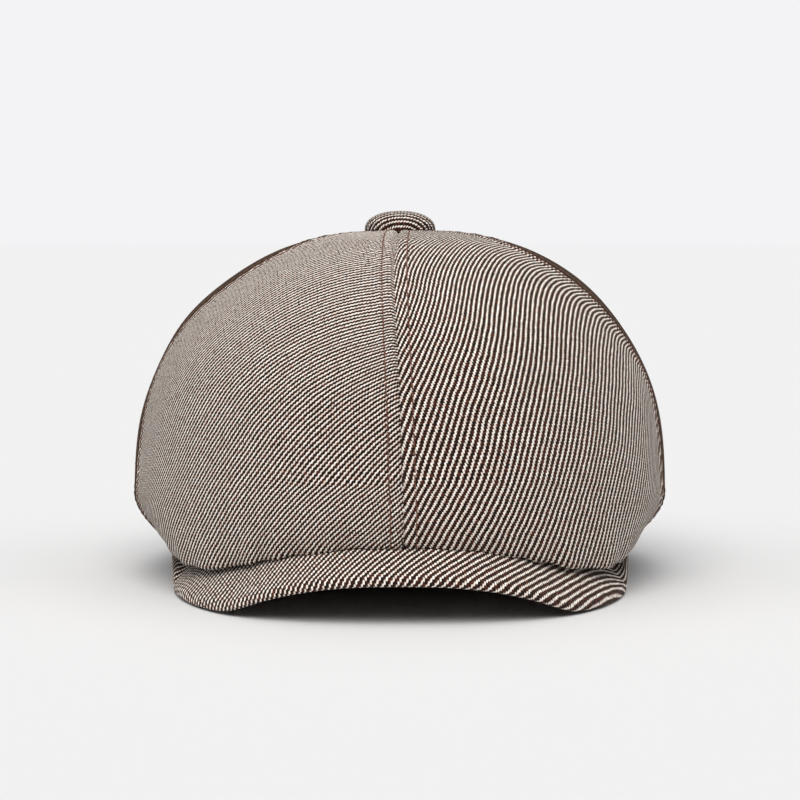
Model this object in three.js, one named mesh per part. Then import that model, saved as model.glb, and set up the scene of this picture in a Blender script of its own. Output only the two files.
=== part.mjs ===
// A six-panel newsboy cap resting on a table: sewn cloth shells, a stiffened visor and a covered button.
// Millimetres, +Z up. The visor points to -Y and the wearer's left is +X.
// The origin is the centre of the cap's footprint, on the table.
import * as THREE from "three";

const { degToRad, smoothstep, clamp, lerp } = THREE.MathUtils;
const QUARTER_TURN = Math.PI / 2;

// ---- Driving dimensions ------------------------------------------------------------------------
// Head opening: an ellipse of 82 x 101 mm half-axes is 576 mm round, hat size 57.6.
const HEAD_X = 82;
const HEAD_Y = 101;
const JOIN_GAP = 0.3; // left between neighbours that are sewn face to face

const SWEATBAND_THICK = 1.2;
const SWEATBAND_HIGH = 32;
const SWEATBAND_FOOT = 0.6; // how far its lower edge sits above the band's
const ELASTIC_HALF_SPAN = degToRad(30); // the elastic insert, each side of the back

const BAND_THICK = 2;
const BAND_HIGH = 22;
const BAND_OFFSET = 4.5; // outer face of the band, out from the head opening
const BAND_X = HEAD_X + BAND_OFFSET;
const BAND_Y = HEAD_Y + BAND_OFFSET;
const SEWN_ON = 0.4; // how far outside the band the crown and the visor are sewn to it
const FRONT_LIFT = 37; // the visor props the front of the band up; the rest of it stands on the table
const LIFT_ENDS_AT = degToRad(84);

const CROWN_HALF_WIDTH = 116.5;
const CROWN_FRONT = 138;
const CROWN_REAR = 135;
const CROWN_TOP = 148.6;
const WIDEST_SIDE = 34; // height at which the crown is widest
const WIDEST_FRONT = 52;
const APEX_BACK = 4; // the button sits a little behind the head's centre
const LEAN = 0.1; // fullness moved from the back of the crown to its front
const ROUNDNESS = { front: 2.6, side: 2.33, rear: 2.2 }; // superellipse exponents
const CLOTH_THICK = 1.4;
// The crown puffs out over the band, turns under at its fold and comes back up to the band's upper edge.
const FOLD = 1.6; // the fold's place on the way from the apex (0) by the widest line (1) to the band (2)
const FOLD_HEIGHT = 8; // above the table, where there is no visor under it
const FOLD_OUT = { side: 0.09, front: 0.9 }; // share of the way from the band out to the widest line
const FOLD_ROUNDNESS = { side: 1.5, front: 2, under: 1.6 };
const CLEAR_OF_VISOR = { side: 8, front: 0.8 };

const VISOR_REACH = 152; // front edge of the visor, from the head's centre
const VISOR_HALF_WIDTH = 97.2;
const VISOR_SIDES_AT = -24; // where its outline is widest
const VISOR_ROUNDNESS = 2.45;
const VISOR_ENDS_AT = degToRad(85);
const VISOR_THICK = 4;
const VISOR_CLOTH = 1;
const VISOR_GAP = 0.55; // between its layers
const VISOR_EDGE_HIGH = 14.4; // height of the middle of its front edge
const VISOR_CONTACT_X = 67; // where its front edge comes down to the table
const VISOR_ARCH_POWER = 2.6;
const VISOR_LANDING = 6; // softens the change from the arch to the table, in square millimetres
const VISOR_CORNER_X = 93; // past this the edge climbs again, towards the side of the band
const VISOR_CORNER_RISE = 11;
const VISOR_TAPERS_FROM = 0.93; // share of the visor's turn past which its ends draw in to the band

// Turns of the seams between the panels, measured from the front: at the button, and down at the widest line.
const CENTRE_SEAM = { apex: 0, low: 0 };
const SIDE_SEAM = { apex: degToRad(48), low: degToRad(75) };
const REAR_SEAM = { apex: degToRad(120), low: degToRad(130) };
const BACK_SEAM = { apex: Math.PI, low: Math.PI };
const SEAM_SWING = { from: 0.15, to: 0.85 }; // ways down the crown between which a seam swings
const PANEL_TIP = 0.0065; // the tips stop short of the apex, so that the button's shank can pass

const LINING_INSET = 5;
const LINING_THICK = 0.6;
const LINING_RAISE = 10; // the lining is widest above the crown's own fold
const LINING_EDGE = 26; // its lower edge above the band's, behind the sweatband
const INTERLINING_DEPTH = 1.9; // outer cloth plus a gap
const INTERLINING_THICK = 0.5;

const BUTTON_RADIUS = 15.5;
const BUTTON_HIGH = 8.7;
const BUTTON_SEAT = CROWN_TOP + 0.9;

// The shift from the head's centre to the middle of the footprint.
const HEAD_CENTRE_Y = (VISOR_REACH - CROWN_REAR) / 2;

// ---- Materials ---------------------------------------------------------------------------------
const cloth = (color) => new THREE.MeshStandardMaterial({ color, roughness: 0.95, metalness: 0 });
const TWILL = cloth(0x9b8d82);
const BROWN_WOOL = cloth(0x4b3b2d);
const LINING_SATIN = new THREE.MeshStandardMaterial({ color: 0x5a4536, roughness: 0.5, metalness: 0 });
const INTERLINING = cloth(0xded9cf);
const GROSGRAIN = cloth(0x2f2722);
const ELASTIC = cloth(0x221d1a);
const BOARD = new THREE.MeshStandardMaterial({ color: 0xe6e4de, roughness: 0.5, metalness: 0 });
const ALUMINIUM = new THREE.MeshStandardMaterial({ color: 0xc8c9cb, roughness: 0.35, metalness: 1 });
const LABEL_CLOTH = cloth(0xcbbfa6);

// ---- Shape of the cap --------------------------------------------------------------------------
// turn is the angle round the head in radians: 0 at the front, positive to the wearer's left.

function ellipse(halfX, halfY, turn) {
  return new THREE.Vector2(halfX * Math.sin(turn), -halfY * Math.cos(turn));
}

// Height of the band's lower edge above the table.
function bandLift(turn) {
  const share = clamp(Math.abs(turn) / LIFT_ENDS_AT, 0, 1);
  return FRONT_LIFT * Math.cos(share * QUARTER_TURN) ** 0.9;
}

// Underside height of the visor's outer edge: an arch in the middle, then flat on the table, then up to the
// side of the band.
function visorEdgeHeight(x) {
  const arch = VISOR_EDGE_HIGH * (1 - (Math.abs(x) / VISOR_CONTACT_X) ** VISOR_ARCH_POWER);
  const landed = (arch + Math.sqrt(arch * arch + VISOR_LANDING)) / 2 - 0.05;
  return landed + VISOR_CORNER_RISE * smoothstep(Math.abs(x), VISOR_CORNER_X, VISOR_HALF_WIDTH);
}

// The straight line across the visor at one turn, from the band to the outer edge, along its underside.
function visorRule(turn) {
  const share = clamp(turn / VISOR_ENDS_AT, -1, 1);
  const foot = ellipse(BAND_X + SEWN_ON, BAND_Y + SEWN_ON, turn);
  const root = new THREE.Vector3(foot.x, foot.y, bandLift(turn));
  const power = 2 / VISOR_ROUNDNESS;
  const swing = share * QUARTER_TURN;
  const x = VISOR_HALF_WIDTH * Math.sign(share) * Math.abs(Math.sin(swing)) ** power;
  const y = VISOR_SIDES_AT - (VISOR_REACH + VISOR_SIDES_AT) * Math.cos(swing) ** power;
  const edge = new THREE.Vector3(x, y, visorEdgeHeight(x));
  const taper = 1 - 0.9 * smoothstep(Math.abs(share), VISOR_TAPERS_FROM, 1);
  return { root, edge: root.clone().lerp(edge, taper) };
}

// Height of the visor's top, out past the band by a distance in plan.
function visorTop(turn, out) {
  const { root, edge } = visorRule(turn);
  const length = Math.max(Math.hypot(edge.x - root.x, edge.y - root.y), 1);
  return lerp(root.z, edge.z, clamp(out / length, 0, 1)) + VISOR_THICK;
}

// The upper crown: a superellipsoid over the head, from the apex (way 0) to its widest line (way 1).
function dome(turn, way, inset, widest) {
  const c = Math.cos(turn);
  const toward = c > 0 ? ROUNDNESS.front : ROUNDNESS.rear;
  const power = 2 / lerp(ROUNDNESS.side, toward, c * c);
  const swing = clamp(way, 0, 1) * QUARTER_TURN;
  const spread = Math.sin(swing) ** power;
  const rise = way >= 1 ? 0 : Math.cos(swing) ** power;
  const outline = widestOutline(turn, inset);
  const high = CROWN_TOP - inset * 0.9 - widest;
  return new THREE.Vector3(
    outline.x * spread,
    outline.y * spread + APEX_BACK * (1 - spread),
    widest + high * rise * (1 + LEAN * c * Math.sin(swing)),
  );
}

// The crown's widest outline in plan, or one inset from it.
function widestOutline(turn, inset) {
  const reach = Math.cos(turn) > 0 ? CROWN_FRONT : CROWN_REAR;
  return ellipse(CROWN_HALF_WIDTH - inset, reach - inset, turn);
}

function widestHeight(turn) {
  return lerp(WIDEST_SIDE, WIDEST_FRONT, smoothstep(Math.cos(turn), 0, 1));
}

// A point between two outlines in plan (out 0 and out 1), at one height.
function between(foot, wide, out, z) {
  const p = foot.clone().lerp(wide, out);
  return new THREE.Vector3(p.x, p.y, z);
}

// Outer face of the crown. way: 0 apex, 1 widest line, FOLD bottom of the overhang, 2 seam to the band.
function crownFace(turn, way) {
  const widest = widestHeight(turn);
  if (way <= 1) return dome(turn, way, 0, widest);
  const ahead = Math.cos(turn);
  const overVisor = smoothstep(ahead, 0.05, 0.75);
  const foldOut = lerp(FOLD_OUT.side, FOLD_OUT.front, overVisor);
  const foot = ellipse(BAND_X + SEWN_ON, BAND_Y + SEWN_ON, turn);
  const wide = widestOutline(turn, 0);
  const clear = lerp(CLEAR_OF_VISOR.side, CLEAR_OF_VISOR.front, overVisor);
  // How low the cloth may hang: just above the visor, or above the table where there is no visor.
  const lowest = (out) => {
    const onVisor = visorTop(turn, wide.distanceTo(foot) * out) + clear;
    return lerp(FOLD_HEIGHT, onVisor, smoothstep(ahead, 0, 0.35));
  };
  if (way <= FOLD) {
    const power = 2 / lerp(FOLD_ROUNDNESS.side, FOLD_ROUNDNESS.front, overVisor);
    const swing = ((way - 1) / (FOLD - 1)) * QUARTER_TURN;
    const out = foldOut + (1 - foldOut) * (way >= FOLD ? 0 : Math.cos(swing) ** power);
    return between(foot, wide, out, lerp(widest, lowest(foldOut), Math.sin(swing) ** power));
  }
  const power = 2 / FOLD_ROUNDNESS.under;
  const swing = ((way - FOLD) / (2 - FOLD)) * QUARTER_TURN;
  const up = way >= 2 ? 1 : 1 - Math.cos(swing) ** power;
  const out = foldOut * (1 - Math.sin(swing) ** power);
  return between(foot, wide, out, lerp(lowest(out), bandLift(turn) + BAND_HIGH, up));
}

// Outer face of the lining. way: 0 apex, 1 widest line, 2 lower edge behind the sweatband.
function liningFace(turn, way) {
  const widest = widestHeight(turn) + LINING_RAISE;
  if (way <= 1) return dome(turn, way, LINING_INSET, widest);
  const behind = SWEATBAND_THICK + LINING_THICK + 2 * JOIN_GAP;
  const foot = ellipse(HEAD_X + behind, HEAD_Y + behind, turn);
  const swing = (way - 1) * QUARTER_TURN;
  const out = way >= 2 ? 0 : Math.cos(swing);
  const z = lerp(widest, bandLift(turn) + LINING_EDGE, Math.sin(swing));
  return between(foot, widestOutline(turn, LINING_INSET), out, z);
}

// The turn of a seam at one way down the crown: it swings from its turn at the button to its lower one.
function seamTurn(seam, way) {
  return lerp(seam.apex, seam.low, smoothstep(way, SEAM_SWING.from, SEAM_SWING.to));
}

// How far a face moves in millimetres for each radian of turn, as a vector.
function perTurn(face, turn, way) {
  const step = 1e-3;
  return face(turn + step, way).sub(face(turn - step, way)).divideScalar(2 * step);
}

// The direction into a face, square to it.
function inwards(face, turn, way) {
  const step = 1e-3;
  const down = face(turn, way + step).sub(face(turn, way - step));
  return perTurn(face, turn, way).cross(down).normalize();
}

// ---- Builders ----------------------------------------------------------------------------------
// Bends a flat solid into place: every vertex (x, y, z) of the geometry goes to place(x, y, z).
function bend(geometry, place) {
  const at = geometry.getAttribute("position");
  for (let i = 0; i < at.count; i++) {
    const p = place(at.getX(i), at.getY(i), at.getZ(i));
    at.setXYZ(i, p.x, p.y, p.z);
  }
  geometry.computeVertexNormals();
  return geometry;
}

// A slab with sides of 0 to 1, ready to be bent.
function slab(acrossSteps, downSteps) {
  return new THREE.BoxGeometry(1, 1, 1, acrossSteps, downSteps, 1).translate(0.5, 0.5, 0.5);
}

// One sewn panel: the slab's x runs from seam to seam, its y through the listed ways, its z into the cloth.
// side is 1 on the wearer's left and -1 on the right.
function panel(face, [from, to], side, ways, across, depth, thick) {
  const rows = ways.length - 1;
  return bend(slab(across, rows), (x, y, z) => {
    const way = ways[Math.round(y * rows)];
    const ends = [side * seamTurn(from, way), side * seamTurn(to, way)].sort((a, b) => a - b);
    const gap = JOIN_GAP / 2 / perTurn(face, lerp(...ends, x), way).length();
    const turn = lerp(ends[0] + gap, ends[1] - gap, x);
    return face(turn, way).addScaledVector(inwards(face, turn, way), depth + z * thick);
  });
}

// Evenly spaced values, both ends included.
function evenly(from, to, steps) {
  return Array.from({ length: steps + 1 }, (_, i) => lerp(from, to, i / steps));
}

// A strip standing round the head opening, with its outer face a distance outward of the opening.
function strip(fromTurn, toTurn, outward, thick, foot, high, steps) {
  return bend(slab(steps, 1), (x, y, z) => {
    const turn = lerp(fromTurn, toTurn, x);
    const out = outward - z * thick;
    const p = ellipse(HEAD_X + out, HEAD_Y + out, turn);
    return new THREE.Vector3(p.x, p.y, bandLift(turn) + foot + high * (1 - y));
  });
}

// A layer of the visor. The section's x is 0 at the band and BODY where the rim starts, then goes on in
// millimetres to BODY + RIM at the outer edge, and its y is the height above the underside.
const BODY = 10;
const RIM = 5;
function visorLayer(section, turns) {
  const steps = turns.length - 1;
  const flat = new THREE.ExtrudeGeometry(section, { depth: 1, steps, bevelEnabled: false, curveSegments: 3 });
  return bend(flat, (x, y, z) => {
    const { root, edge } = visorRule(turns[Math.round(z * steps)]);
    const length = root.distanceTo(edge);
    const rim = Math.min(RIM, length / 2);
    const out = x <= BODY ? ((length - rim) * x) / BODY : length - rim + ((x - BODY) * rim) / RIM;
    const p = root.clone().lerp(edge, out / length);
    return p.setZ(p.z + y);
  });
}

// Points across the visor's body at one height. The layers are warped, so they need the points in between.
function bodyRow(height) {
  return evenly(0, BODY, 8).map((x) => new THREE.Vector2(x, height));
}

// A flat layer of the visor, from the band to an end in the rim, between two heights.
function flatSection(end, low, high) {
  const ends = [new THREE.Vector2(end, low), new THREE.Vector2(end, high)];
  return new THREE.Shape([...bodyRow(low), ...ends, ...bodyRow(high).reverse()]);
}

// A round solid about the button's axis from (radius, height) points going up the outside.
function turned(points) {
  const profile = points.map(([r, z]) => new THREE.Vector2(r, z));
  return new THREE.LatheGeometry(profile, 24).rotateX(QUARTER_TURN);
}

// An arc of (radius, height) points on an ellipse about (0, foot), from one angle to another.
function domeArc(radius, foot, high, fromAngle, toAngle, steps) {
  return evenly(fromAngle, toAngle, steps).map((angle) => {
    const onAxis = Math.abs(angle - QUARTER_TURN) < 1e-6;
    return [onAxis ? 0 : radius * Math.cos(angle), foot + high * Math.sin(angle)];
  });
}

const cap = new THREE.Group();
cap.position.y = HEAD_CENTRE_Y;

function add(name, geometry, material, parent = cap) {
  const mesh = new THREE.Mesh(geometry, material);
  mesh.name = name;
  parent.add(mesh);
}

// ---- Crown, interlining and lining -------------------------------------------------------------
const domeWays = [PANEL_TIP, ...evenly(0.1, 1, 9)];
const crownWays = [...domeWays, ...evenly(1.12, FOLD, 4), ...evenly(1.7, 2, 3)];
const liningWays = [PANEL_TIP, ...evenly(0.14, 1, 6), ...evenly(1.25, 2, 3)];
const WEDGES = [
  { place: "front", seams: [CENTRE_SEAM, SIDE_SEAM], material: TWILL, across: 10 },
  { place: "side", seams: [SIDE_SEAM, REAR_SEAM], material: BROWN_WOOL, across: 6 },
  { place: "rear", seams: [REAR_SEAM, BACK_SEAM], material: TWILL, across: 6 },
];
for (const [hand, side] of [["left", 1], ["right", -1]]) {
  for (const { place, seams, material, across } of WEDGES) {
    const outer = panel(crownFace, seams, side, crownWays, across, 0, CLOTH_THICK);
    add(`${place}_panel_${hand}`, outer, material);
    const inner = panel(liningFace, seams, side, liningWays, Math.ceil(across * 0.6), 0, LINING_THICK);
    add(`lining_${place}_${hand}`, inner, LINING_SATIN);
  }
  const ways = domeWays.slice(1, -1);
  const seams = [CENTRE_SEAM, SIDE_SEAM];
  const stiffener = panel(crownFace, seams, side, ways, 10, INTERLINING_DEPTH, INTERLINING_THICK);
  add(`front_interlining_${hand}`, stiffener, INTERLINING);
}

// ---- Band, sweatband and its elastic -----------------------------------------------------------
const backGap = JOIN_GAP / 2 / BAND_Y;
const bandShape = strip(-Math.PI + backGap, Math.PI - backGap, BAND_OFFSET, BAND_THICK, 0, BAND_HIGH, 64);
add("outer_band", bandShape, TWILL);

const sweatEnd = Math.PI - ELASTIC_HALF_SPAN;
const sweatShape = strip(
  -sweatEnd, sweatEnd,
  SWEATBAND_THICK, SWEATBAND_THICK, SWEATBAND_FOOT, SWEATBAND_HIGH, 54,
);
add("sweatband", sweatShape, GROSGRAIN);
const elasticShape = strip(
  sweatEnd + 2 * backGap, 2 * Math.PI - sweatEnd - 2 * backGap,
  SWEATBAND_THICK, SWEATBAND_THICK, SWEATBAND_FOOT, SWEATBAND_HIGH, 10,
);
add("sweatband_elastic", elasticShape, ELASTIC);

// ---- Labels ------------------------------------------------------------------------------------
// A blank woven label on the back of the lining, and a size tab hanging inside the sweatband.
const labelEnds = [168, 192].map((degrees) => ({ apex: degToRad(degrees), low: degToRad(degrees) }));
const labelShape = panel(liningFace, labelEnds, 1, evenly(0.42, 0.57, 4), 6, LINING_THICK + 1, 0.5);
add("lining_label", labelShape, LABEL_CLOTH);
const tabShape = strip(degToRad(140), degToRad(146), -JOIN_GAP, 0.5, 9, 16, 2);
add("size_tab", tabShape, LABEL_CLOTH);

// ---- Visor -------------------------------------------------------------------------------------
const roll = VISOR_THICK / 2; // radius of the rolled edge
const rollAt = BODY + RIM - roll;
const rollStop = degToRad(-80);
const visorTurns = evenly(VISOR_ENDS_AT, -VISOR_ENDS_AT, 34);
const topSection = new THREE.Shape(bodyRow(VISOR_THICK - VISOR_CLOTH));
topSection.absarc(rollAt, roll, roll - VISOR_CLOTH, QUARTER_TURN, rollStop, true);
topSection.absarc(rollAt, roll, roll, rollStop, QUARTER_TURN, false);
for (const { x, y } of bodyRow(VISOR_THICK).reverse()) topSection.lineTo(x, y);
add("visor_top_cover", visorLayer(topSection, visorTurns), TWILL);
add("visor_under_cover", visorLayer(flatSection(rollAt - 0.2, 0, VISOR_CLOTH), visorTurns), TWILL);
const boardLow = VISOR_CLOTH + VISOR_GAP;
const boardHigh = VISOR_THICK - VISOR_CLOTH - VISOR_GAP;
const boardSection = flatSection(rollAt - 0.2, boardLow, boardHigh);
add("visor_board", visorLayer(boardSection, visorTurns.slice(1, -1)), BOARD);

// ---- Button ------------------------------------------------------------------------------------
// Cloth drawn over a domed shell and tucked in under its rim. A back plate closes it, and the plate's shank
// goes through the apex.
const waist = 2.6; // height at which the button is widest
const tuck = degToRad(-62);
const coverOut = [
  ...domeArc(BUTTON_RADIUS, waist, waist, tuck, 0, 3).slice(0, -1),
  ...domeArc(BUTTON_RADIUS, waist, BUTTON_HIGH - waist, 0, QUARTER_TURN, 6),
];
const coverThick = 1.1;
const coverIn = [
  ...domeArc(BUTTON_RADIUS - coverThick, waist, BUTTON_HIGH - waist - coverThick, QUARTER_TURN, 0, 6),
  ...domeArc(BUTTON_RADIUS - coverThick, waist, waist - coverThick, 0, tuck, 3).slice(1),
];
const button = new THREE.Group();
button.position.set(0, APEX_BACK, BUTTON_SEAT);
cap.add(button);
add("button_cover", turned([...coverOut, ...coverIn, coverOut[0]]), TWILL, button);

const shellOutside = coverThick + JOIN_GAP;
const shellThick = 0.7;
const shellArc = (inset, from, to) =>
  domeArc(BUTTON_RADIUS - inset, waist, BUTTON_HIGH - waist - inset, from, to, 6);
const shellProfile = [
  ...shellArc(shellOutside, 0, QUARTER_TURN),
  ...shellArc(shellOutside + shellThick, QUARTER_TURN, 0),
];
add("button_shell", turned([...shellProfile, shellProfile[0]]), ALUMINIUM, button);

const plateRadius = 6.4;
const shankRadius = 1.5;
const shankLong = 4;
const backProfile = [
  [0, -shankLong],
  [shankRadius, -shankLong],
  [shankRadius, 0.2],
  [plateRadius, 0.2],
  [plateRadius, 1.4],
  [0, 1.4],
];
add("button_back", turned(backProfile), ALUMINIUM, button);

export default cap;
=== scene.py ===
# A six-panel newsboy cap, seen in a plain studio: bold wool-blend twill over a lined crown, a rolled and
# arched visor, brown wool side panels and a cloth-covered button.
import math

import bpy
import numpy as np
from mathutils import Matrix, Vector


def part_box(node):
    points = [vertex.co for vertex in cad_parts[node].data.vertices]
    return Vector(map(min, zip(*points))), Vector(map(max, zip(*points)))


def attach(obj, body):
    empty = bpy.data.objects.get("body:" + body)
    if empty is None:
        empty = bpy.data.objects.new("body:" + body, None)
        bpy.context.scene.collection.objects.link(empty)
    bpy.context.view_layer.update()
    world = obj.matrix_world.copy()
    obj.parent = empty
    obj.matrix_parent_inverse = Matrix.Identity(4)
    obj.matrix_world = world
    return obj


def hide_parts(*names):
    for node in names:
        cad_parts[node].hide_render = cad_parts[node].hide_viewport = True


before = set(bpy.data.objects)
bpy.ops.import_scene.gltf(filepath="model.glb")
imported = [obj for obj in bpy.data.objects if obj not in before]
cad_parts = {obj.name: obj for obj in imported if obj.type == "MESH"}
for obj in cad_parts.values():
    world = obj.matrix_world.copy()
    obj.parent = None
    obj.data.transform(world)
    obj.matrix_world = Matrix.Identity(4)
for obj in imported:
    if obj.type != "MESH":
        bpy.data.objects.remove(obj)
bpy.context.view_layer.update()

MM = 0.001
rng = np.random.default_rng(57)

# ---- Sizes, in millimetres about the centre of the head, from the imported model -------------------


def box_mm(node):
    low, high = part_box(node)
    return np.array(low) / MM, np.array(high) / MM


band_low, band_high = box_mm("outer_band")
HEAD_SHIFT = (band_low[1] + band_high[1]) / 2  # the head's centre in the row frame
BAND_X = band_high[0]
BAND_Y = (band_high[1] - band_low[1]) / 2
BAND_THICK = 2.0
BAND_HIGH = 22.0  # from the opening's edge up to the crown
FRONT_LIFT = band_high[2] - BAND_HIGH  # how far the band rises over the visor
LIFT_ENDS_AT = math.radians(84)
BAND_OFFSET = 4.5  # from the head opening out to the band's face
HEAD_X = BAND_X - BAND_OFFSET
HEAD_Y = BAND_Y - BAND_OFFSET
SEWN_ON = 0.4  # from the band out to what is sewn on it
SWEATBAND_THICK = 1.2
SWEATBAND_FOOT = 0.6
SWEATBAND_HIGH = 32.0
ELASTIC_HALF_SPAN = math.radians(30)

CROWN_HALF_WIDTH = box_mm("side_panel_left")[1][0]
CROWN_TOP = box_mm("side_panel_left")[1][2]
CROWN_FRONT = HEAD_SHIFT - box_mm("front_panel_left")[0][1]
CROWN_REAR = box_mm("rear_panel_left")[1][1] - HEAD_SHIFT
WIDEST_SIDE = 34.0  # height of the widest line at the sides and the back, and over the visor
WIDEST_FRONT = 52.0
APEX_BACK = 4.0  # the button sits behind the head's centre
LEAN = 0.1  # fullness moved from the back of the crown to its front
ROUND_FRONT, ROUND_SIDE, ROUND_REAR = 2.6, 2.33, 2.2
CLOTH_THICK = 1.4
FOLD = 1.6  # the way at which the crown turns under
FOLD_HEIGHT = 8.0
FOLD_OUT_SIDE, FOLD_OUT_FRONT = 0.09, 0.9
FOLD_ROUND_SIDE, FOLD_ROUND_FRONT, FOLD_ROUND_UNDER = 1.5, 2.0, 1.6
CLEAR_SIDE, CLEAR_FRONT = 8.0, 0.8  # from the visor up to the crown

VISOR_REACH = HEAD_SHIFT - box_mm("visor_top_cover")[0][1]
VISOR_HALF_WIDTH = 97.2
VISOR_SIDES_AT = -24.0
VISOR_ROUNDNESS = 2.45
VISOR_ENDS_AT = math.radians(85)
VISOR_THICK = 4.0
VISOR_EDGE_HIGH = 14.4
VISOR_CONTACT_X = 67.0  # outside this the edge lies on the table
VISOR_ARCH_POWER = 2.6
VISOR_LANDING = 6.0  # softens where the arch meets the table
VISOR_SINKS = 0.05  # takes back what the softening adds
VISOR_CORNER_X = 93.0
VISOR_CORNER_RISE = 11.0
VISOR_TAPERS_FROM = 0.93
VISOR_TAPER = 0.9  # towards its ends the visor narrows into the band

# the seams' turns at the button and down at the widest line, and the ways between which they swing
SEAM_SWING = (0.15, 0.85)
SIDE_SEAM = (math.radians(48), math.radians(75))
REAR_SEAM = (math.radians(120), math.radians(130))
CENTRE_SEAM = (0.0, 0.0)
BACK_SEAM = (math.pi, math.pi)
PANEL_TIP = 0.0065
LINING_INSET = 5.0
LINING_THICK = 0.6
LINING_RAISE = 10.0
LINING_EDGE = 26.0
LINING_BEHIND = 0.6  # from the sweatband out to the lining
INTERLINING_DEPTH = 1.9
INTERLINING_THICK = 0.5
BUTTON_RADIUS = box_mm("button_cover")[1][0]
BUTTON_LOW = box_mm("button_cover")[0][2]
BUTTON_HIGH = 8.7
STITCH_IN = 5.0  # topstitching, from the seam
CROWN_RUN = 170.0  # along the crown for each unit of way, near enough for puckers
PULL_CHANGES = (85, 180)  # how far from the button the skew of the weave changes
QUARTER = math.pi / 2
STEP = 1e-3  # for slopes of the surfaces


# ---- The cap's surfaces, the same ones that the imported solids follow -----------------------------
# turn goes round the head, 0 at the front and positive to the wearer's left; way goes down the crown.


def smooth(x, low, high):
    share = np.clip((x - low) / (high - low), 0, 1)
    return share * share * (3 - 2 * share)


def mix(a, b, share):
    return a + (b - a) * share


def points(x, y, z):
    return np.stack(np.broadcast_arrays(x, y, z), -1)


def band_lift(turn):
    share = np.clip(np.abs(turn) / LIFT_ENDS_AT, 0, 1)
    return FRONT_LIFT * np.cos(share * QUARTER).clip(0) ** 0.9


def visor_edge_height(x):
    arch = VISOR_EDGE_HIGH * (1 - (np.abs(x) / VISOR_CONTACT_X) ** VISOR_ARCH_POWER)
    landed = (arch + np.sqrt(arch * arch + VISOR_LANDING)) / 2 - VISOR_SINKS
    return landed + VISOR_CORNER_RISE * smooth(np.abs(x), VISOR_CORNER_X, VISOR_HALF_WIDTH)


def visor_rule(turn):
    """The underside of the visor at a turn: its point on the band and its point on the outer edge."""
    share = np.clip(turn / VISOR_ENDS_AT, -1, 1)
    root = points((BAND_X + SEWN_ON) * np.sin(turn), -(BAND_Y + SEWN_ON) * np.cos(turn), band_lift(turn))
    power = 2 / VISOR_ROUNDNESS
    swing = share * QUARTER
    x = VISOR_HALF_WIDTH * np.sign(share) * np.abs(np.sin(swing)) ** power
    y = VISOR_SIDES_AT - (VISOR_REACH + VISOR_SIDES_AT) * np.cos(swing).clip(0) ** power
    taper = 1 - VISOR_TAPER * smooth(np.abs(share), VISOR_TAPERS_FROM, 1)
    edge = root + (points(x, y, visor_edge_height(x)) - root) * taper[..., None]
    return root, edge


def visor_top(turn, out):
    root, edge = visor_rule(turn)
    length = np.maximum(np.hypot(edge[..., 0] - root[..., 0], edge[..., 1] - root[..., 1]), 1)
    return mix(root[..., 2], edge[..., 2], np.clip(out / length, 0, 1)) + VISOR_THICK


def widest_outline(turn, inset):
    reach = np.where(np.cos(turn) > 0, CROWN_FRONT, CROWN_REAR)
    return (CROWN_HALF_WIDTH - inset) * np.sin(turn), -(reach - inset) * np.cos(turn)


def widest_height(turn):
    return mix(WIDEST_SIDE, WIDEST_FRONT, smooth(np.cos(turn), 0, 1))


def dome(turn, way, inset, widest):
    c = np.cos(turn)
    power = 2 / mix(ROUND_SIDE, np.where(c > 0, ROUND_FRONT, ROUND_REAR), c * c)
    swing = np.clip(way, 0, 1) * QUARTER
    spread = np.sin(swing) ** power
    rise = np.where(way >= 1, 0, np.cos(swing).clip(1e-9)) ** power
    wide_x, wide_y = widest_outline(turn, inset)
    high = CROWN_TOP - inset * 0.9 - widest
    return points(
        wide_x * spread,
        wide_y * spread + APEX_BACK * (1 - spread),
        widest + high * rise * (1 + LEAN * c * np.sin(swing)),
    )


def crown_face(turn, way):
    turn, way = np.broadcast_arrays(np.asarray(turn, float), np.asarray(way, float))
    widest = widest_height(turn)
    over = dome(turn, way, 0, widest)
    ahead = np.cos(turn)
    on_visor = smooth(ahead, 0.05, 0.75)
    fold_out = mix(FOLD_OUT_SIDE, FOLD_OUT_FRONT, on_visor)
    foot_x, foot_y = (BAND_X + SEWN_ON) * np.sin(turn), -(BAND_Y + SEWN_ON) * np.cos(turn)
    wide_x, wide_y = widest_outline(turn, 0)
    width = np.hypot(wide_x - foot_x, wide_y - foot_y)
    clear = mix(CLEAR_SIDE, CLEAR_FRONT, on_visor)

    def lowest(out):
        return mix(FOLD_HEIGHT, visor_top(turn, width * out) + clear, smooth(ahead, 0, 0.35))

    power = 2 / mix(FOLD_ROUND_SIDE, FOLD_ROUND_FRONT, on_visor)
    swing = np.clip((way - 1) / (FOLD - 1), 0, 1) * QUARTER
    out_a = fold_out + (1 - fold_out) * np.cos(swing).clip(0) ** power
    z_a = mix(widest, lowest(fold_out), np.sin(swing) ** power)
    power = 2 / FOLD_ROUND_UNDER
    swing = np.clip((way - FOLD) / (2 - FOLD), 0, 1) * QUARTER
    up = 1 - np.cos(swing).clip(0) ** power
    out_b = fold_out * (1 - np.sin(swing) ** power)
    z_b = mix(lowest(out_b), band_lift(turn) + BAND_HIGH, up)
    out, z = np.where(way > FOLD, out_b, out_a), np.where(way > FOLD, z_b, z_a)
    low = points(mix(foot_x, wide_x, out), mix(foot_y, wide_y, out), z)
    return np.where((way > 1)[..., None], low, over)


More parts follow.
